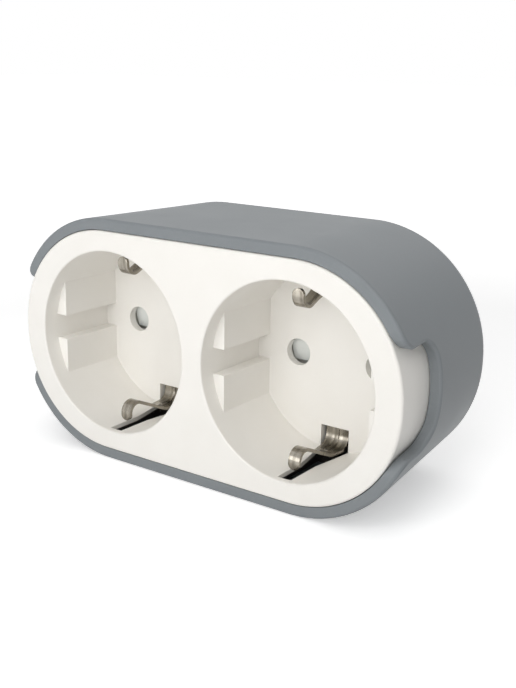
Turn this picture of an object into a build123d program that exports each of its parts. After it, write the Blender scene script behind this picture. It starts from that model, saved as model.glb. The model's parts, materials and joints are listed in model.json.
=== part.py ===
from build123d import *
from math import hypot
import os

os.makedirs("parts", exist_ok=True)

# Driving dimensions in millimetres. Depth is measured back from the socket face.

# Sockets
recess_diameter = 39.6
recess_web = 5.0
recess_depth = 20.0
recess_rim_round = 0.4
floor_thickness = 1.8
cup_wall = 2.2
pin_spacing = 19.0
pin_hole = 5.8

# Guide ribs in the sockets
rib_height = 3.0
rib_setback = 3.9
rib_channel = 5.5
rib_root = 0.6

# Front housing
end_margin = 5.75
side_margin = 4.25
end_flat = 0.8
face_thickness = 2.2
housing_wall = 2.2
housing_overlap = 11.0
face_edge_round = 0.5

# Rear shell
shell_gap = 0.15
shell_wall = 2.4
shell_setback = 0.4
shell_edge_round = 0.6
back_wall = 2.0
back_edge_round = 4.0
end_taper = 4.5
half_share = 0.8

# Finger cut-outs at both ends of the shell
cutout_depth = 13.0
cutout_height = 20.8
cutout_mouth_round = 3.4
cutout_corner_round = 4.6

# Plug on the back
boss_diameter = 37.0
boss_flat_cut = 2.1
boss_key = 4.8
boss_length = 17.0
boss_wall = 1.4
boss_end_wall = 4.0
boss_edge_round = 1.0
pin_diameter = 4.8
pin_length = 19.0
pin_tip_round = 1.8
pin_root_diameter = 5.6
pin_flange_diameter = 7.4
pin_flange = 1.8
pin_stub = 3.0
pin_peen_diameter = 4.4
pin_peen = 0.6

# Earthing strips
earth_strip = 0.7
earth_width = 5.4
bracket_drop_left = 0.25
bracket_drop_right = 0.75
clip_nose_width = 2.6
clip_nose_depth = 4.95
clip_tip_gap = 1.45
clip_tip_round = 1.2
clip_peak = 6.35
clip_crest_round = 2.2
clip_heel = 4.25
clip_heel_round = 3.0
clip_wall_gap = 1.5
clip_bend_round = 2.8
clip_flare_depth = 10.0
clip_flare_end = 0.9
clip_bead_width = 0.9
clip_bead = 0.2
clip_bead_reach = 5.0
clip_bead_margin = 0.7
clip_slot_gap = 0.3
clip_slot_front = 1.4
clip_lip = 1.0
clip_pocket_width = 10.0
notch_reach = 5.2
notch_gap = 0.65
link_width = 3.0
link_gap = 0.9
tongue_gap = 0.7
plug_strip_width = 5.0
plug_strip_reach = 10.5

# Shutters
shutter_travel = 5.4
shutter_gap = 0.3
shutter_lower_edge = -2.7
shutter_top = 7.0
shutter_thickness = 2.6
shutter_ramp = 1.4
pad_margin = 0.4
bridge_lower_edge = 2.9
bridge_height = 3.1
spring_diameter = 2.9
spring_wire = 0.4
spring_turns = 5
spring_compressed = 4.6

# Shutter guides
guide_thickness = 1.4
guide_rail = 1.0
guide_rail_height = 8.4
guide_wall = 1.1
post_diameter = 3.8
post_offset = 6.2
post_low = -8.2
post_gap = 0.7
post_margin = 0.5

# Contact bars and their carrier
bar_thickness = 0.8
bar_width = 4.0
bar_offset = 8.2
tab_margin = 0.5
jaw_gap = 0.4
jaw_strip = 0.7
jaw_width = 5.0
jaw_length = 9.0
jaw_clearance = 0.8
jaw_flare = 0.8
jaw_flare_length = 1.6
riser_width = 4.4
riser_round = 1.0
carrier_thickness = 1.8
carrier_gap = 1.8

# Screws
screw_diameter = 3.0
screw_length = 14.0
screw_head_diameter = 5.4
screw_head = 2.0
screw_spread = 16.0
screw_boss_wall = 1.45
screw_boss_gap = 0.9
screw_recess_share = 0.6
screw_recess_width = 0.2
screw_recess_depth = 0.55
guide_screw_diameter = 1.8
guide_screw_length = 4.0
guide_screw_head_diameter = 3.4
guide_screw_head = 1.2

# Fits
slide_fit = 0.3
seat_fit = 0.1
hole_fit = 0.4
skin_tolerance = 0.1

# Derived sizes
recess_radius = recess_diameter / 2
cup_radius = recess_radius + cup_wall
socket_spacing = recess_diameter + recess_web
rib_flats = recess_diameter - 2 * rib_height
boss_flats = boss_diameter - 2 * boss_flat_cut
boss_bore = boss_flats - 2 * boss_wall
face_height = recess_diameter + 2 * side_margin
face_width = socket_spacing + recess_diameter + 2 * end_margin
housing_inset = shell_wall + shell_gap
shell_height = face_height + 2 * housing_inset
shell_width = face_width + 2 * housing_inset
shell_corner = (shell_height - end_flat) / 2
housing_depth = cutout_depth + housing_overlap
axis_height = shell_height / 2
sockets = {"left": -socket_spacing / 2, "right": socket_spacing / 2}

# Layers in depth, from the socket floor to the tips of the plug pins
floor_back = recess_depth + floor_thickness
earth_front = floor_back - earth_strip
shutter_front = floor_back + shutter_gap
shutter_back = shutter_front + shutter_thickness
guide_front = shutter_back + shutter_gap
guide_back = guide_front + guide_thickness
jaw_front = guide_back + jaw_clearance
bar_front = jaw_front + jaw_length
bar_back = bar_front + bar_thickness
carrier_front = bar_front - carrier_thickness
wall_inner = bar_back + carrier_gap
body_depth = wall_inner + back_wall
boss_back = body_depth + boss_length
boss_inner = boss_back - boss_end_wall
foot_back = boss_inner - pin_flange
foot_front = foot_back - bar_thickness
total_depth = boss_back + pin_length
front_y = -total_depth / 2

# Places in the plane of the face, from the middle of the adapter
pad_outer = pin_spacing / 2 + pin_hole / 2 + pad_margin
pad_inner = pin_spacing / 2 - pin_hole / 2 - pad_margin
screw_boss = screw_diameter + 2 * screw_boss_wall
carrier_height = screw_spread + screw_boss
screw_x = socket_spacing / 2 + pad_outer + screw_boss_gap + screw_boss / 2
screw_places = [(x, z) for x in (-screw_x, screw_x) for z in (-screw_spread / 2, screw_spread / 2)]
socket_places = [(x, 0) for x in sockets.values()]
pin_places = [(x + dx, 0) for x in sockets.values() for dx in (-pin_spacing / 2, pin_spacing / 2)]
post_high = shutter_top + shutter_travel + post_gap + post_diameter / 2
post_places = {
    side: [(x - post_offset, post_low), (x + post_offset, post_high)] for side, x in sockets.items()
}


def at_depth(depth):
    # Upright plane that faces the front, with x to the right and y up
    return Plane(origin=(0, front_y + depth, axis_height), x_dir=(1, 0, 0), z_dir=(0, -1, 0))


def side_view(x, height=0):
    # Upright plane seen from the right end, with x as depth and y up
    return Plane(origin=(x, front_y, axis_height + height), x_dir=(0, 1, 0), z_dir=(1, 0, 0))


def plan_view(height):
    # Level plane, with x to the right and y as depth
    return Plane(origin=(0, front_y, axis_height + height), x_dir=(1, 0, 0), z_dir=(0, 0, 1))


def leaning_half(hand, inset):
    # One rounded end and most of the body, square to an end that leans in towards the back
    leaning = Plane(
        origin=(0, front_y, axis_height),
        x_dir=(body_depth, hand * end_taper, 0),
        z_dir=(hand * end_taper, -body_depth, 0),
    )
    reach = shell_width / 2 * body_depth / hypot(body_depth, end_taper) - inset
    length = half_share * (shell_width - 2 * inset)
    with BuildSketch(leaning) as half:
        with Locations((hand * (reach - length / 2), 0)):
            RectangleRounded(length, shell_height - 2 * inset, shell_corner - inset)
    return extrude(half.sketch, amount=2 * body_depth, both=True, mode=Mode.PRIVATE)


def tapered_block(front, back, inset, mode=Mode.ADD):
    # Body between two depths, moved inwards by the inset, with ends that narrow towards the back
    with BuildSketch(at_depth(front)) as section:
        Rectangle(2 * shell_width, 2 * shell_height)
    slab = extrude(section.sketch, amount=front - back, mode=Mode.PRIVATE)
    add((leaning_half(1, inset) + leaning_half(-1, inset)) & slab, mode=mode)


def save(builder, name):
    builder.part.label = name
    export_step(builder.part, f"parts/{name}.step")


# Front housing: face, side wall, two cups with ribs, pin holes, clip slots and clip pockets
slot_outer = face_height / 2 + shell_gap
notch_inner = recess_radius - notch_reach
slot_nose = clip_nose_width / 2 + clip_slot_gap
slot_root = earth_width / 2 + notch_gap
slot_lip = recess_radius + clip_lip

with BuildPart() as front_housing:
    tapered_block(0, housing_depth, housing_inset)
    fillet(front_housing.faces().sort_by(Axis.Y)[0].edges(), face_edge_round)
    tapered_block(face_thickness, housing_depth, housing_inset + housing_wall, Mode.SUBTRACT)
    with BuildSketch(at_depth(face_thickness)):
        with Locations(*socket_places):
            Circle(cup_radius)
    extrude(amount=face_thickness - floor_back)
    with BuildSketch(at_depth(0)):
        with Locations(*socket_places):
            Circle(recess_radius)
    extrude(amount=-recess_depth, mode=Mode.SUBTRACT)
    rims = front_housing.faces().sort_by(Axis.Y)[0].inner_wires().edges()
    fillet(rims, recess_rim_round)
    with BuildSketch(at_depth(rib_setback)):
        with Locations(*socket_places):
            Circle(recess_radius + rib_root)
            Rectangle(rib_flats, 2 * cup_radius, mode=Mode.SUBTRACT)
            Rectangle(2 * cup_radius, rib_channel, mode=Mode.SUBTRACT)
    extrude(amount=rib_setback - recess_depth)
    with BuildSketch(at_depth(recess_depth)):
        with Locations(*pin_places):
            Circle(pin_hole / 2)
        for height in (notch_inner + slot_outer, -notch_inner - slot_outer):
            with Locations(*[(x, height / 2) for x in sockets.values()]):
                Rectangle(2 * slot_root, slot_outer - notch_inner)
    extrude(amount=-floor_thickness, mode=Mode.SUBTRACT)
    for end in (1, -1):
        with BuildSketch(plan_view(end * notch_inner)):
            with Locations(*socket_places):
                Polygon(
                    (-slot_nose, clip_slot_front),
                    (slot_nose, clip_slot_front),
                    (slot_nose, clip_flare_depth),
                    (slot_root, recess_depth),
                    (-slot_root, recess_depth),
                    (-slot_nose, clip_flare_depth),
                    align=None,
                )
        extrude(amount=end * (slot_outer - notch_inner), mode=Mode.SUBTRACT)
    with BuildSketch(at_depth(face_thickness)):
        for height in (slot_lip + slot_outer, -slot_lip - slot_outer):
            with Locations(*[(x, height / 2) for x in sockets.values()]):
                Rectangle(clip_pocket_width, slot_outer - slot_lip)
    extrude(amount=face_thickness - floor_back, mode=Mode.SUBTRACT)
    with BuildSketch(at_depth(earth_front)):
        with Locations(*socket_places):
            Rectangle(2 * slot_root, 2 * notch_inner)
    extrude(amount=-earth_strip, mode=Mode.SUBTRACT)
    with BuildSketch(at_depth(floor_back)):
        with Locations(*screw_places):
            Circle(screw_boss / 2)
    extrude(amount=floor_back - carrier_front)
    with BuildSketch(at_depth(floor_back)):
        for places in post_places.values():
            with Locations(*places):
                Circle(post_diameter / 2)
    extrude(amount=floor_back - guide_front)
    with BuildSketch(at_depth(carrier_front)):
        with Locations(*screw_places):
            Circle((screw_diameter + seat_fit) / 2)
    extrude(amount=carrier_front - floor_back - seat_fit, mode=Mode.SUBTRACT)
    with BuildSketch(at_depth(guide_front)):
        for places in post_places.values():
            with Locations(*places):
                Circle((guide_screw_diameter + seat_fit) / 2)
    extrude(amount=guide_screw_length - guide_thickness + seat_fit, mode=Mode.SUBTRACT)
save(front_housing, "front_housing")

# Rear shell: sleeve with finger cut-outs, back wall and hollow plug boss
cutout_half = cutout_height / 2
cutout_mouth = cutout_half + cutout_mouth_round
strip_outer = boss_diameter / 2 - seat_fit
strip_inner = strip_outer - earth_strip
groove_floor = strip_inner - seat_fit
strip_slot = plug_strip_width + 2 * slide_fit
base_back = boss_inner
base_front = base_back - earth_strip


def on_front_skin(edge):
    # True for edges of the outer skin near the front, the cut-outs included
    place = edge.center()
    depth = place.Y - front_y
    half_width = shell_width / 2 - end_taper * depth / body_depth - shell_corner
    across = max(abs(place.X) - half_width, 0)
    up = max(abs(place.Z - axis_height) - end_flat / 2, 0)
    reach = (across**2 + up**2) ** 0.5
    return depth < cutout_depth + skin_tolerance and reach > shell_corner - shell_wall / 2


with BuildPart() as rear_shell:
    tapered_block(shell_setback, body_depth, 0)
    fillet(rear_shell.faces().sort_by(Axis.Y)[-1].edges(), back_edge_round)
    with BuildSketch(at_depth(body_depth)):
        Rectangle(boss_flats, boss_diameter)
        Rectangle(boss_diameter, boss_key)
        Circle(boss_diameter / 2, mode=Mode.INTERSECT)
    extrude(amount=-boss_length)
    fillet(rear_shell.faces().sort_by(Axis.Y)[-1].edges(), boss_edge_round)
    tapered_block(shell_setback, wall_inner, shell_wall, Mode.SUBTRACT)
    with BuildSketch(side_view(0)):
        with BuildLine():
            upper_edge = FilletPolyline(
                (shell_setback, cutout_mouth),
                (shell_setback, cutout_half),
                (cutout_depth, cutout_half),
                (cutout_depth, 0),
                radius=[cutout_mouth_round, cutout_corner_round],
            )
            mirror(upper_edge, about=Plane.XZ)
            Line((shell_setback, cutout_mouth), (shell_setback, -cutout_mouth))
        make_face()
    extrude(amount=shell_width, both=True, mode=Mode.SUBTRACT)
    fillet(rear_shell.edges().filter_by(on_front_skin), shell_edge_round)
    with BuildSketch(at_depth(wall_inner)):
        Circle(boss_bore / 2)
    extrude(amount=wall_inner - boss_inner, mode=Mode.SUBTRACT)
    with BuildSketch(at_depth(boss_inner)):
        with Locations((-pin_spacing / 2, 0), (pin_spacing / 2, 0)):
            Circle((pin_root_diameter + seat_fit) / 2)
    extrude(amount=-boss_end_wall, mode=Mode.SUBTRACT)
    with BuildSketch(at_depth(body_depth)):
        for end in (1, -1):
            with Locations((0, end * (groove_floor + boss_diameter) / 2)):
                Rectangle(strip_slot, boss_diameter - groove_floor)
    extrude(amount=-boss_length, mode=Mode.SUBTRACT)
    with BuildSketch(at_depth(base_front - slide_fit)):
        Rectangle(strip_slot, boss_diameter)
    extrude(amount=-(earth_strip + slide_fit), mode=Mode.SUBTRACT)
    with BuildSketch(at_depth(wall_inner)):
        with Locations(*screw_places):
            Circle(screw_boss / 2)
    extrude(amount=wall_inner - bar_front)
    with BuildSketch(at_depth(bar_front)):
        with Locations(*screw_places):
            Circle((screw_diameter + hole_fit) / 2)
    extrude(amount=bar_front - body_depth, mode=Mode.SUBTRACT)
    with BuildSketch(at_depth(body_depth)):
        with Locations(*screw_places):
            Circle((screw_head_diameter + hole_fit) / 2)
    extrude(amount=screw_head + hole_fit, mode=Mode.SUBTRACT)
save(rear_shell, "rear_shell")

# Earth brackets: one bent strip behind each socket floor, with a clip at each end
strip_middle = floor_back - earth_strip / 2
clip_wall = recess_radius - clip_wall_gap
flare_back = recess_depth - clip_flare_end
bracket_drops = {"left": bracket_drop_left, "right": bracket_drop_right}
for side, x in sockets.items():
    bracket_drop = bracket_drops[side]
    with BuildPart() as earth_bracket:
        with BuildSketch(side_view(x - earth_width / 2, -bracket_drop)):
            with BuildLine():
                clip_path = FilletPolyline(
                    (clip_nose_depth, clip_tip_gap - recess_radius),
                    (clip_nose_depth, clip_peak - recess_radius),
                    (recess_depth - clip_heel, -clip_wall),
                    (strip_middle, -clip_wall),
                    (strip_middle, 0),
                    radius=[clip_crest_round, clip_heel_round, clip_bend_round],
                )
                mirror(clip_path, about=Plane.XZ)
            trace(line_width=earth_strip)
        extrude(amount=earth_width)
        with BuildSketch(side_view(x - clip_bead_width / 2, -bracket_drop)):
            with BuildLine():
                bead_path = FilletPolyline(
                    (strip_middle - clip_bead_reach, -clip_wall),
                    (strip_middle, -clip_wall),
                    (strip_middle, bracket_drop - notch_inner - clip_bead_margin),
                    radius=clip_bend_round,
                )
            trace(line_width=earth_strip + 2 * clip_bead)
        extrude(amount=clip_bead_width)
        with BuildSketch(plan_view(-shell_height / 2)):
            with Locations((x, 0)):
                Polygon(
                    (-clip_nose_width / 2, 0),
                    (clip_nose_width / 2, 0),
                    (clip_nose_width / 2, clip_flare_depth),
                    (earth_width / 2, flare_back),
                    (earth_width / 2, body_depth),
                    (-earth_width / 2, body_depth),
                    (-earth_width / 2, flare_back),
                    (-clip_nose_width / 2, clip_flare_depth),
                    align=None,
                )
        extrude(amount=shell_height, mode=Mode.INTERSECT)
        tip_corners = earth_bracket.edges().filter_by(Axis.Y).sort_by(Axis.Y)[:4]
        fillet(tip_corners, clip_tip_round)
    save(earth_bracket, f"earth_bracket_{side}")

# Earth link: strip across both brackets, with a tongue back to the plug
guide_lower_edge = post_low - post_diameter / 2 - post_margin
link_height = guide_lower_edge - link_gap - link_width / 2
tongue_top = -carrier_height / 2 - tongue_gap
with BuildPart() as earth_link:
    with BuildSketch(at_depth(floor_back)):
        with Locations((0, link_height)):
            Rectangle(socket_spacing + earth_width, link_width)
    extrude(amount=-earth_strip)
    with BuildSketch(plan_view(tongue_top - earth_strip)):
        with Locations((0, floor_back)):
            Rectangle(plug_strip_width, base_front - floor_back, align=(Align.CENTER, Align.MIN))
    extrude(amount=earth_strip)
save(earth_link, "earth_link")

# Plug earth bracket: base inside the boss, legs folded along its top and bottom
strip_line = (strip_inner + strip_outer) / 2
base_line = (base_front + base_back) / 2
with BuildPart() as plug_earth_bracket:
    with BuildSketch(side_view(-plug_strip_width / 2)):
        with BuildLine():
            Polyline(
                (base_line - plug_strip_reach, -strip_line),
                (base_line, -strip_line),
                (base_line, strip_line),
                (base_line - plug_strip_reach, strip_line),
            )
        trace(line_width=earth_strip)
    extrude(amount=plug_strip_width)
save(plug_earth_bracket, "plug_earth_bracket")

# Shutters: two ramped pads joined by a bridge behind the earth strip
pad_width = pad_outer - pad_inner
bridge_top = bridge_lower_edge + bridge_height
spring_axis = guide_front + spring_diameter / 2 - shutter_gap
pocket_back = spring_axis + spring_diameter / 2 + seat_fit
pocket_half = spring_diameter / 2 + slide_fit
for side, x in sockets.items():
    with BuildPart() as shutter:
        for edge in (x - pad_outer, x + pad_inner):
            with BuildSketch(side_view(edge)):
                with BuildLine():
                    Polyline(
                        (shutter_front, shutter_top),
                        (shutter_front, pin_hole / 2),
                        (shutter_front + shutter_ramp, shutter_lower_edge),
                        (shutter_back, shutter_lower_edge),
                        (shutter_back, shutter_top),
                        close=True,
                    )
                make_face()
            extrude(amount=pad_width)
        with BuildSketch(at_depth(shutter_front)):
            with Locations((x, bridge_lower_edge)):
                Rectangle(2 * pad_inner, bridge_height, align=(Align.CENTER, Align.MIN))
        extrude(amount=shutter_front - shutter_back)
        with BuildSketch(at_depth(shutter_front)):
            with Locations((x, bridge_top)):
                Rectangle(2 * (pocket_half - slide_fit), bridge_height / 2, align=(Align.CENTER, Align.MAX))
        extrude(amount=shutter_front - pocket_back + seat_fit)
    save(shutter, f"shutter_{side}")

# Shutter springs: coils between each bridge and the roof of its guide's pocket
spring_length = shutter_travel + spring_compressed
spring_pitch = (spring_length - spring_wire) / spring_turns
for side, x in sockets.items():
    with BuildPart() as shutter_spring:
        seat = (x, front_y + spring_axis, axis_height + bridge_top + spring_wire / 2)
        with BuildLine(Plane(origin=seat)):
            coil = Helix(spring_pitch, spring_length - spring_wire, (spring_diameter - spring_wire) / 2)
        with BuildSketch(Plane(origin=coil @ 0, z_dir=coil % 0)):
            Circle(spring_wire / 2)
        sweep(is_frenet=True)
    save(shutter_spring, f"shutter_spring_{side}")

# Shutter guides: plates behind the shutters, with side rails, a stop and a spring pocket
pocket_roof = bridge_top + spring_length
guide_top = pocket_roof + guide_wall
rail_inner = pad_outer + slide_fit
for side, x in sockets.items():
    with BuildPart() as shutter_guide:
        with BuildSketch(at_depth(guide_front)):
            with Locations((x, guide_lower_edge)):
                Rectangle(2 * pad_outer, guide_top - guide_lower_edge, align=(Align.CENTER, Align.MIN))
            with Locations((x, 0)):
                Rectangle(2 * (rail_inner + guide_rail), guide_rail_height)
            with Locations((x - pin_spacing / 2, 0), (x + pin_spacing / 2, 0)):
                Circle(pin_hole / 2, mode=Mode.SUBTRACT)
        extrude(amount=-guide_thickness)
        with BuildSketch(at_depth(guide_front)):
            with Locations((x - rail_inner - guide_rail / 2, 0), (x + rail_inner + guide_rail / 2, 0)):
                Rectangle(guide_rail, guide_rail_height)
        extrude(amount=guide_front - floor_back - seat_fit)
        with BuildSketch(at_depth(guide_front)):
            with Locations((x, bridge_lower_edge - seat_fit)):
                Rectangle(earth_width, guide_wall, align=(Align.CENTER, Align.MAX))
        extrude(amount=guide_front - shutter_front)
        with BuildSketch(at_depth(guide_front)):
            with Locations((x, guide_top)):
                Rectangle(
                    2 * (pocket_half + guide_wall),
                    guide_top - bridge_lower_edge,
                    align=(Align.CENTER, Align.MAX),
                )
        extrude(amount=guide_front - pocket_back - guide_wall)
        with BuildSketch(at_depth(guide_front)):
            with Locations((x, pocket_roof)):
                Rectangle(
                    2 * pocket_half,
                    pocket_roof - bridge_lower_edge,
                    align=(Align.CENTER, Align.MAX),
                )
        extrude(amount=guide_front - pocket_back, mode=Mode.SUBTRACT)
        with BuildSketch(at_depth(guide_front)):
            with Locations(*post_places[side]):
                Circle((guide_screw_diameter + seat_fit) / 2)
        extrude(amount=-guide_thickness, mode=Mode.SUBTRACT)
    save(shutter_guide, f"shutter_guide_{side}")

# Contact bars: a strip above or below the pins, with jaws for both sockets and a riser to the plug
jaw_inner = (pin_diameter + jaw_gap) / 2
jaw_line = jaw_inner + jaw_strip / 2
tab_width = 2 * (jaw_inner + jaw_strip + tab_margin)
tab_height = bar_offset + jaw_inner + tab_margin
riser_height = bar_offset - bar_width / 2 + bar_thickness / 2
bar_middle = (bar_front + bar_back) / 2
foot_middle = (foot_front + foot_back) / 2
for name, turn in (("live", 1), ("neutral", -1)):
    contacts = [x - turn * pin_spacing / 2 for x in sockets.values()]
    plug_x = -turn * pin_spacing / 2
    with BuildPart() as contact_bar:
        with BuildSketch(at_depth(bar_front)):
            with Locations((sum(contacts) / 2, turn * bar_offset)):
                Rectangle(socket_spacing + tab_width, bar_width)
            with Locations(*[(x, turn * (bar_offset - tab_height / 2)) for x in contacts]):
                Rectangle(tab_width, tab_height)
            with Locations(*[(x, 0) for x in contacts]):
                Circle(jaw_inner - seat_fit / 2, mode=Mode.SUBTRACT)
        extrude(amount=-bar_thickness)
        for x in contacts:
            for hand in (1, -1):
                with BuildSketch(plan_view(-jaw_width / 2)):
                    with BuildLine():
                        Polyline(
                            (x + hand * jaw_line, bar_back),
                            (x + hand * jaw_line, jaw_front + jaw_flare_length),
                            (x + hand * (jaw_line + jaw_flare), jaw_front),
                        )
                    trace(line_width=jaw_strip)
                extrude(amount=jaw_width)
        with BuildSketch(side_view(plug_x - riser_width / 2)):
            with BuildLine():
                FilletPolyline(
                    (bar_middle, turn * bar_offset),
                    (bar_middle, turn * riser_height),
                    (foot_middle, turn * riser_height),
                    (foot_middle, -turn * pin_peen_diameter / 2),
                    radius=riser_round,
                )
            trace(line_width=bar_thickness)
        extrude(amount=riser_width)
        with BuildSketch(at_depth(foot_front)):
            with Locations((plug_x, 0)):
                Circle((pin_stub + seat_fit) / 2)
        extrude(amount=-bar_thickness, mode=Mode.SUBTRACT)
    save(contact_bar, f"{name}_bar")

    # Plug pin of the same pole, peened over on the foot of the riser
    with BuildPart() as plug_pin:
        with BuildSketch(at_depth(foot_back)):
            with Locations((plug_x, 0)):
                Circle(pin_flange_diameter / 2)
        extrude(amount=-pin_flange)
        with BuildSketch(at_depth(boss_inner)):
            with Locations((plug_x, 0)):
                Circle(pin_root_diameter / 2)
        extrude(amount=-boss_end_wall)
        with BuildSketch(at_depth(boss_back)):
            with Locations((plug_x, 0)):
                Circle(pin_diameter / 2)
        extrude(amount=-pin_length)
        fillet(plug_pin.faces().sort_by(Axis.Y)[-1].edges(), pin_tip_round)
        with BuildSketch(at_depth(foot_back)):
            with Locations((plug_x, 0)):
                Circle(pin_stub / 2)
        extrude(amount=bar_thickness)
        with BuildSketch(at_depth(foot_front)):
            with Locations((plug_x, 0)):
                Circle(pin_peen_diameter / 2)
        extrude(amount=pin_peen)
    save(plug_pin, f"plug_pin_{name}")

# Contact carrier: insulating plate clamped by the housing screws, with a window for each jaw
window_width = 2 * (jaw_inner + jaw_strip + slide_fit)
with BuildPart() as contact_carrier:
    with BuildSketch(at_depth(carrier_front)):
        RectangleRounded(2 * screw_x + screw_boss, carrier_height, screw_boss / 2 - seat_fit)
        with Locations(*pin_places):
            Rectangle(window_width, jaw_width + 2 * slide_fit, mode=Mode.SUBTRACT)
        with Locations(*screw_places):
            Circle((screw_diameter + hole_fit) / 2, mode=Mode.SUBTRACT)
    extrude(amount=-carrier_thickness)
save(contact_carrier, "contact_carrier")


def screw(places, seat_depth, head_diameter, head, diameter, length):
    # Pan-head screws driven from the back, with their heads seated at a depth
    with BuildSketch(at_depth(seat_depth)) as heads:
        with Locations(*places):
            Circle(head_diameter / 2)
    extrude(heads.sketch, amount=-head)
    with BuildSketch(at_depth(seat_depth)) as shanks:
        with Locations(*places):
            Circle(diameter / 2)
    extrude(shanks.sketch, amount=length)
    with BuildSketch(at_depth(seat_depth + head)) as recesses:
        with Locations(*places):
            Rectangle(screw_recess_share * head_diameter, screw_recess_width * head_diameter)
            Rectangle(screw_recess_width * head_diameter, screw_recess_share * head_diameter)
    extrude(recesses.sketch, amount=screw_recess_depth * head, mode=Mode.SUBTRACT)


# Housing screws: through the back wall and the carrier into the bosses of the front housing
screw_seat = body_depth - screw_head - hole_fit
with BuildPart() as housing_screws:
    screw(screw_places, screw_seat, screw_head_diameter, screw_head, screw_diameter, screw_length)
save(housing_screws, "housing_screws")

# Guide screws: through the shutter guides into the posts behind the socket floors
with BuildPart() as guide_screws:
    screw(
        [place for places in post_places.values() for place in places],
        guide_back,
        guide_screw_head_diameter,
        guide_screw_head,
        guide_screw_diameter,
        guide_screw_length,
    )
save(guide_screws, "guide_screws")
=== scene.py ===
import json
import math

import bpy
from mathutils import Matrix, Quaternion, Vector


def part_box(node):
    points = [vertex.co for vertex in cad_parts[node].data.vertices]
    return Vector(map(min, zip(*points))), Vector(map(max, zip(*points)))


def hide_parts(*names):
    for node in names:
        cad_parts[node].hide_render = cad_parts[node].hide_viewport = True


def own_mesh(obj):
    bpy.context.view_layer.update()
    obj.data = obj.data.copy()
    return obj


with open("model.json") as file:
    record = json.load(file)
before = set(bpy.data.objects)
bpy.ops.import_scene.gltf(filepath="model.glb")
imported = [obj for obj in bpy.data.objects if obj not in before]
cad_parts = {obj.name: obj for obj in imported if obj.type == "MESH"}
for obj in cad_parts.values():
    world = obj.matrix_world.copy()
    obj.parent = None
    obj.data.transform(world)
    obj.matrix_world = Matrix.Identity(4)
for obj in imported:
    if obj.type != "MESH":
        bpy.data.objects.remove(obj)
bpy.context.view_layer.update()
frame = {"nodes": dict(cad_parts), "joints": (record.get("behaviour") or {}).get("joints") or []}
nodes = frame["nodes"]
mm = 0.001
print("frame loaded:", len(nodes), "nodes")


class Wire:  # a socket that stands in Python sums, each of which adds its nodes
    def __init__(self, tree, socket=None):
        self.tree = tree
        self.socket = socket

    def add(self, nodeType, settings=None, inputs=None, output=0):
        node = self.tree.nodes.new(nodeType)
        for name, value in (settings or {}).items():
            setattr(node, name, value)
        for name, value in (inputs or {}).items():
            if isinstance(value, Wire):
                self.tree.links.new(value.socket, node.inputs[name])
            else:
                node.inputs[name].default_value = value
        return Wire(self.tree, node.outputs[output])

    def sum(self, operation, first, second=0):
        return self.add("ShaderNodeMath", {"operation": operation}, {0: first, 1: second})

    def __add__(self, other):
        return self.sum("ADD", self, other)

    def __radd__(self, other):
        return self.sum("ADD", other, self)

    def __sub__(self, other):
        return self.sum("SUBTRACT", self, other)

    def __rsub__(self, other):
        return self.sum("SUBTRACT", other, self)

    def __mul__(self, other):
        return self.sum("MULTIPLY", self, other)

    def __rmul__(self, other):
        return self.sum("MULTIPLY", other, self)

    def __abs__(self):
        return self.sum("ABSOLUTE", self)

    def root(self):
        return self.sum("SQRT", self)

    def between(self, low, high):  # 0 at low, 1 at high
        sockets = {"Value": self, "From Min": low, "From Max": high}
        return self.add("ShaderNodeMapRange", None, sockets)

    def blend(self, first, second):  # colour from first to second
        sockets = {"Factor": self, 6: first, 7: second}
        return self.add("ShaderNodeMix", {"data_type": "RGBA"}, sockets, output=2)


def newMaterial(name, constants):
    material = bpy.data.materials.new(name)
    material.use_nodes = True
    shader = material.node_tree.nodes["Principled BSDF"]
    for socket, value in constants.items():
        shader.inputs[socket].default_value = value
    place = Wire(material.node_tree).add("ShaderNodeTexCoord", output="Object")
    return material, shader, place


def feed(shader, socket, wire):
    wire.tree.links.new(wire.socket, shader.inputs[socket])


def noise(place, size, detail, stretch=(1, 1, 1)):  # pattern with marks of a size in metres
    turned = place.add("ShaderNodeMapping", None, {"Vector": place, "Scale": stretch})
    settings = {"Vector": turned, "Scale": 1 / size, "Detail": detail}
    return place.add("ShaderNodeTexNoise", None, settings)


middleTone = 0.5


def unevenRoughness(finish, tone):  # rougher above the middle tone, smoother below it
    return finish["roughness"] + finish["roughnessSpread"] * (tone - middleTone)


# Mask for painted shade: near-black put into the hollows behind the clip slots, where shade falls
def paintedSlotShadeMask(place, hollow):  # 1 in the hollows that the clip slots open into
    x, y, z = [place.add("ShaderNodeSeparateXYZ", None, {0: place}, axis) for axis in "XYZ"]
    across = abs(x) - hollow["socketX"]
    up = abs(z - hollow["socketZ"])
    reach = (across * across + up * up).root()
    outside = reach.between(hollow["reach"], hollow["reach"] + hollow["edge"])
    steep = up.between(hollow["height"], hollow["height"] + hollow["edge"])
    deep = y.between(hollow["frontY"], hollow["frontY"] + hollow["edge"])
    return outside * steep * deep


plasticPattern = {
    "ior": 1.5,
    "cloudDetail": 3,
    "grainDetail": 2,
    "speckDetail": 1,
    "speckRange": (0.62, 0.74),
    "cloudShare": 0.75,
    "grainShare": 0.25,
    "toneRange": (0.3, 0.7),
}


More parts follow.
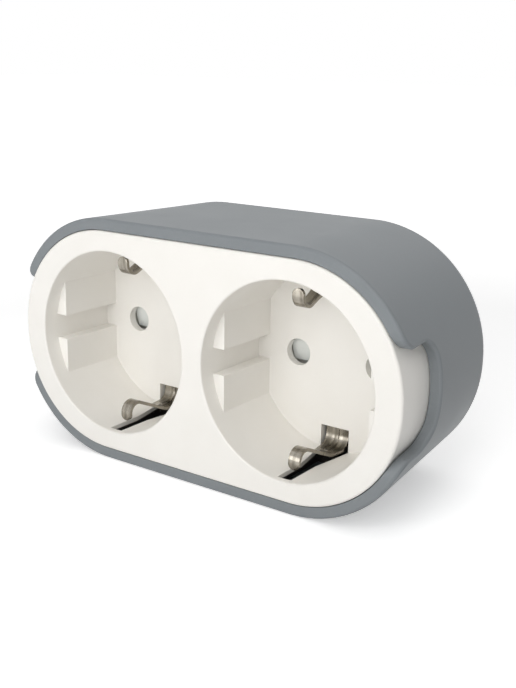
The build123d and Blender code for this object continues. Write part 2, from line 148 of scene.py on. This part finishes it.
def mouldedPlastic(name, finish):
    pattern = plasticPattern
    constants = {"Specular IOR Level": finish["specular"], "IOR": pattern["ior"]}
    material, shader, place = newMaterial(name, constants)
    clouds = noise(place, finish["cloudSize"], pattern["cloudDetail"])
    grain = noise(place, finish["grainSize"], pattern["grainDetail"])
    specks = noise(place, finish["speckSize"], pattern["speckDetail"])
    specks = specks.between(*pattern["speckRange"])
    tone = pattern["cloudShare"] * clouds + pattern["grainShare"] * grain
    tone = tone.between(*pattern["toneRange"])
    colour = tone.blend(finish["darkTone"], finish["lightTone"])
    # painted shade: near-black blended into the hollows behind the clip slots
    if "hollow" in finish:
        colour = paintedSlotShadeMask(place, finish["hollow"]).blend(colour, finish["hollow"]["tone"])
    feed(shader, "Base Color", (finish["speckShare"] * specks).blend(colour, finish["speckTone"]))
    feed(shader, "Roughness", unevenRoughness(finish, tone))
    bump = {"Height": grain, "Strength": finish["grainStrength"], "Distance": finish["grainHeight"]}
    feed(shader, "Normal", place.add("ShaderNodeBump", None, bump))
    return material


metalPattern = {
    "specular": 0.5,
    "lineDetail": 2,
    "bandDetail": 1,
    "bandRange": (0.36, 0.64),
    "tarnishDetail": 4,
    "tarnishRange": (0.35, 0.75),
    "bandShare": 0.45,
    "tarnishShare": 0.3,
    "lineShare": 0.25,
    "toneRange": (0.2, 0.8),
}


def rolledMetal(name, finish):
    pattern = metalPattern
    constants = {"Specular IOR Level": pattern["specular"], "Metallic": 1}
    material, shader, place = newMaterial(name, constants)
    lines = noise(place, finish["lineWidth"], pattern["lineDetail"], finish["lineStretch"])
    bands = noise(place, finish["bandWidth"], pattern["bandDetail"], finish["lineStretch"])
    bands = bands.between(*pattern["bandRange"])
    tarnish = noise(place, finish["tarnishSize"], pattern["tarnishDetail"])
    tarnish = tarnish.between(*pattern["tarnishRange"])
    tone = pattern["bandShare"] * bands + pattern["tarnishShare"] * tarnish
    tone = (tone + pattern["lineShare"] * lines).between(*pattern["toneRange"])
    feed(shader, "Base Color", tone.blend(finish["brightTone"], finish["dullTone"]))
    feed(shader, "Roughness", unevenRoughness(finish, tone))
    bump = {"Height": lines, "Strength": finish["lineStrength"], "Distance": finish["lineHeight"]}
    feed(shader, "Normal", place.add("ShaderNodeBump", None, bump))
    return material


def dress(material, *names):
    for name in names:
        piece = nodes[name]
        piece.data.materials.clear()
        piece.data.materials.append(material)


# White housing, with painted shade: the hollows behind its clip slots are coloured near-black
whiteFinish = {
    "specular": 0.45,
    "cloudSize": 9 * mm,
    "grainSize": 0.28 * mm,
    "speckSize": 0.5 * mm,
    "darkTone": (0.895, 0.872, 0.824, 1),
    "lightTone": (0.92, 0.899, 0.855, 1),
    "speckTone": (0.84, 0.815, 0.77, 1),
    "speckShare": 0.1,
    "roughness": 0.38,
    "roughnessSpread": 0.08,
    "grainStrength": 0.25,
    "grainHeight": 0.01 * mm,
}
slotShadePaint = {
    # near-black colour of the painted shade behind the clip slots
    "tone": (0.035, 0.032, 0.028, 1),
    "socketX": 22.3 * mm,
    "socketZ": 26.6 * mm,
    "reach": 20.6 * mm,
    "height": 17 * mm,
    "frontY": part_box("front_housing")[0].y + 2.2 * mm,  # behind the face
    "edge": 0.2 * mm,
}
dress(mouldedPlastic("whitePlastic", dict(whiteFinish, hollow=slotShadePaint)), "front_housing")

# Grey shell
greyFinish = {
    "specular": 0.22,
    "cloudSize": 12 * mm,
    "grainSize": 0.22 * mm,
    "speckSize": 0.4 * mm,
    "darkTone": (0.218, 0.236, 0.249, 1),
    "lightTone": (0.240, 0.259, 0.271, 1),
    "speckTone": (0.29, 0.309, 0.323, 1),
    "speckShare": 0.18,
    "roughness": 0.44,
    "roughnessSpread": 0.1,
    "grainStrength": 0.45,
    "grainHeight": 0.02 * mm,
}
dress(mouldedPlastic("greyPlastic", greyFinish), "rear_shell")

# Shutters, their guides and the contact carrier
shutterFinish = dict(
    whiteFinish,
    darkTone=(0.81, 0.83, 0.80, 1),
    lightTone=(0.87, 0.89, 0.86, 1),
    speckTone=(0.72, 0.74, 0.71, 1),
    roughness=0.45,
)
dress(mouldedPlastic("shutterPlastic", shutterFinish), "shutter_left", "shutter_right")

guideFinish = dict(
    whiteFinish,
    darkTone=(0.66, 0.65, 0.60, 1),
    lightTone=(0.72, 0.71, 0.66, 1),
    roughness=0.5,
)
dress(mouldedPlastic("guidePlastic", guideFinish), "shutter_guide_left", "shutter_guide_right")
carrierFinish = dict(guideFinish, darkTone=(0.58, 0.57, 0.53, 1), lightTone=(0.64, 0.63, 0.58, 1))
dress(mouldedPlastic("carrierPlastic", carrierFinish), "contact_carrier")

# Metal pieces
stripFinish = {
    "brightTone": (0.38, 0.352, 0.302, 1),
    "dullTone": (0.20, 0.182, 0.150, 1),
    "bandWidth": 0.9 * mm,
    "lineWidth": 0.12 * mm,
    "lineStretch": (1, 0.06, 0.06),
    "tarnishSize": 2.5 * mm,
    "roughness": 0.26,
    "roughnessSpread": 0.12,
    "lineStrength": 0.3,
    "lineHeight": 0.006 * mm,
}
platedStrip = rolledMetal("platedStrip", stripFinish)
dress(platedStrip, "earth_bracket_left", "earth_bracket_right", "earth_link", "plug_earth_bracket")
pinFinish = dict(
    stripFinish,
    brightTone=(0.74, 0.72, 0.68, 1),
    dullTone=(0.62, 0.60, 0.56, 1),
    lineStretch=(0.05, 1, 0.05),
    roughness=0.2,
)
dress(rolledMetal("turnedPin", pinFinish), "plug_pin_live", "plug_pin_neutral")
brassFinish = dict(stripFinish, brightTone=(0.80, 0.62, 0.30, 1), dullTone=(0.60, 0.44, 0.20, 1))
dress(rolledMetal("stampedBrass", brassFinish), "live_bar", "neutral_bar")
springFinish = dict(stripFinish, brightTone=(0.60, 0.60, 0.60, 1), dullTone=(0.45, 0.45, 0.46, 1))
dress(rolledMetal("springWire", springFinish), "shutter_spring_left", "shutter_spring_right")
screwFinish = dict(stripFinish, brightTone=(0.66, 0.66, 0.65, 1), dullTone=(0.52, 0.52, 0.52, 1))
dress(rolledMetal("zincScrew", screwFinish), "housing_screws", "guide_screws")
print("materials on", len(nodes), "nodes")


mergeDistance = 0.001 * mm


def copyNode(name, ending):  # a merged copy of a CAD node, which itself stays as it is
    bpy.ops.object.select_all(action="DESELECT")
    nodes[name].select_set(True)
    bpy.context.view_layer.objects.active = nodes[name]
    bpy.ops.object.duplicate()
    piece = bpy.context.object
    piece.name = name + ending
    bpy.ops.object.mode_set(mode="EDIT")
    bpy.ops.mesh.select_all(action="SELECT")
    bpy.ops.mesh.remove_doubles(threshold=mergeDistance)
    bpy.ops.object.mode_set(mode="OBJECT")
    return piece


# Earth brackets again, with the edges of the stamped strip broken so that they catch the light
stampedEdge = {"width": 0.08 * mm, "segments": 2, "sharpAngle": math.radians(50)}
for name in ("earth_bracket_left", "earth_bracket_right"):
    bracket = copyNode(name, "_edged")
    bevel = bracket.modifiers.new("brokenEdge", "BEVEL")
    bevel.width = stampedEdge["width"]
    bevel.segments = stampedEdge["segments"]
    bevel.limit_method = "ANGLE"
    bevel.angle_limit = stampedEdge["sharpAngle"]
    bpy.ops.object.modifier_apply(modifier=bevel.name)
    bpy.ops.object.shade_smooth_by_angle(angle=stampedEdge["sharpAngle"])
    evenShade = bracket.modifiers.new("evenShade", "WEIGHTED_NORMAL")  # keeps the flats flat
    evenShade.keep_sharp = True
    bpy.ops.object.modifier_apply(modifier=evenShade.name)
    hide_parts(name)
    print(bracket.name, "has", len(bracket.data.polygons), "faces")

# Springs again, one for each shutter slide, as merged copies with smooth shading
coilShade = {"sharpAngle": math.radians(40)}
for joint in frame["joints"]:
    name = joint["name"].replace("shutter", "shutter_spring").replace("_slide", "")
    coil = copyNode(name, "_coil")
    bpy.ops.object.shade_smooth_by_angle(angle=coilShade["sharpAngle"])
    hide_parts(name)
    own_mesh(coil)


def seenDirectly(wire):  # 1 for camera, mirror and glass rays, 0 for light that bounces
    seen = 0
    for kind in ("Is Camera Ray", "Is Glossy Ray", "Is Transmission Ray"):
        seen = seen + wire.add("ShaderNodeLightPath", output=kind)
    return wire.add("ShaderNodeClamp", None, {"Value": seen})


# Floor and backdrop: white to the camera and in reflections, with the shadow of the object kept
floorPlan = {
    "size": 6.0,
    "roughness": 0.9,
    "seenTone": (1.0, 1.0, 1.0, 1),
    "bounceTone": (0.92, 0.92, 0.92, 1),
    "bounceGlow": (0, 0, 0, 1),
    "nearGlow": (0.42, 0.42, 0.42, 1),
    "farGlow": (0.75, 0.75, 0.75, 1),
    "glowStart": 0.15,  # the glow makes up for the lamps, which fade away from the object
    "glowEnd": 0.36,
}
bpy.ops.object.select_all(action="DESELECT")
bpy.ops.mesh.primitive_plane_add(size=floorPlan["size"], location=(0, 0, 0))
floor = bpy.context.object
floor.name = "floor"
paperConstants = {
    "Specular IOR Level": 0,
    "Roughness": floorPlan["roughness"],
    "Emission Strength": 1,
}
paper, paperShader, paperPlace = newMaterial("floorPaper", paperConstants)
paperSeen = seenDirectly(paperPlace)
feed(paperShader, "Base Color", paperSeen.blend(floorPlan["bounceTone"], floorPlan["seenTone"]))
length = {"operation": "LENGTH"}
paperReach = paperPlace.add("ShaderNodeVectorMath", length, {0: paperPlace}, "Value")
paperAway = paperReach.between(floorPlan["glowStart"], floorPlan["glowEnd"])
paperGlow = paperAway.blend(floorPlan["nearGlow"], floorPlan["farGlow"])
feed(paperShader, "Emission Color", paperSeen.blend(floorPlan["bounceGlow"], paperGlow))
floor.data.materials.append(paper)

backdropPlan = {"tone": (1, 1, 1, 1), "strength": 0.04}
world = bpy.data.worlds.new("studio")
bpy.context.scene.world = world
world.use_nodes = True
backdrop = world.node_tree.nodes["Background"]
backdropSeen = seenDirectly(Wire(world.node_tree))
softLight = backdropPlan["strength"]
feed(backdrop, "Strength", softLight + (1 - softLight) * backdropSeen)
backdrop.inputs["Color"].default_value = backdropPlan["tone"]


def wayOut(azimuth, elevation):  # from the object outwards: 0, 0 is straight out of the sockets
    turn, lift = math.radians(azimuth), math.radians(elevation)
    level = math.cos(lift)
    return Vector((math.sin(turn) * level, -math.cos(turn) * level, math.sin(lift)))


# Lamps: a key light by the camera, soft boxes in front and above, a small fill on the left,
# and a wide soft light overhead
lampPlans = {
    "keyLight": {"type": "AREA", "azimuth": 25, "elevation": 15, "distance": 0.5,
                 "power": 0.53, "size": 0.2},
    "frontBox": {"type": "AREA", "azimuth": 15, "elevation": 38, "distance": 0.5,
                 "power": 0.52, "size": 0.26},
    "leftFill": {"type": "AREA", "azimuth": -17, "elevation": 10, "distance": 0.21,
                 "power": 0.103, "size": 0.12},
    "topBox": {"type": "AREA", "azimuth": 24, "elevation": 60, "distance": 0.5,
               "power": 0.44, "size": 0.26},
    "overhead": {"type": "SUN", "azimuth": 170, "elevation": 66, "distance": 0.6,
                 "power": 1.1, "spread": 80},
}
aim = Vector((0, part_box("front_housing")[0].y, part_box("rear_shell")[1].z / 2))
for name, plan in lampPlans.items():
    away = wayOut(plan["azimuth"], plan["elevation"])
    bpy.ops.object.light_add(type=plan["type"], location=aim + plan["distance"] * away)
    lamp = bpy.context.object
    lamp.name = name
    lamp.data.energy = plan["power"]
    if plan["type"] == "AREA":
        lamp.data.size = plan["size"]
    else:
        lamp.data.angle = math.radians(plan["spread"])
    lamp.rotation_euler = (-away).to_track_quat("-Z", "Y").to_euler()
print("stage and lamps ready")

# Camera: solved from the photograph, about the middle of the socket face
view = {
    "azimuth": 35.428,
    "elevation": 15.738,
    "roll": 0.861,
    "distance": 194.32 * mm,
    "aimRight": 16.563 * mm,
    "aimUp": 6.792 * mm,
    "focalPixels": 1022.474,
    "imageHeight": 688,
    "sensor": 36.0,
    "nearest": 0.01,
}
housingLow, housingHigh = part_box("front_housing")
faceMiddle = Vector((0, housingLow.y, (housingLow.z + housingHigh.z) / 2))
target = faceMiddle + Vector((view["aimRight"], 0, view["aimUp"]))
towards = wayOut(view["azimuth"], view["elevation"])
bpy.ops.object.camera_add(location=target + view["distance"] * towards)
camera = bpy.context.object
roll = Quaternion((0, 0, 1), math.radians(view["roll"]))
camera.rotation_euler = ((-towards).to_track_quat("-Z", "Y") @ roll).to_euler()
camera.data.sensor_width = view["sensor"]
camera.data.lens = view["sensor"] * view["focalPixels"] / view["imageHeight"]
camera.data.clip_start = view["nearest"]
bpy.context.scene.camera = camera
bpy.context.scene.view_settings.view_transform = "Standard"
print("camera at", [round(value, 4) for value in camera.location])
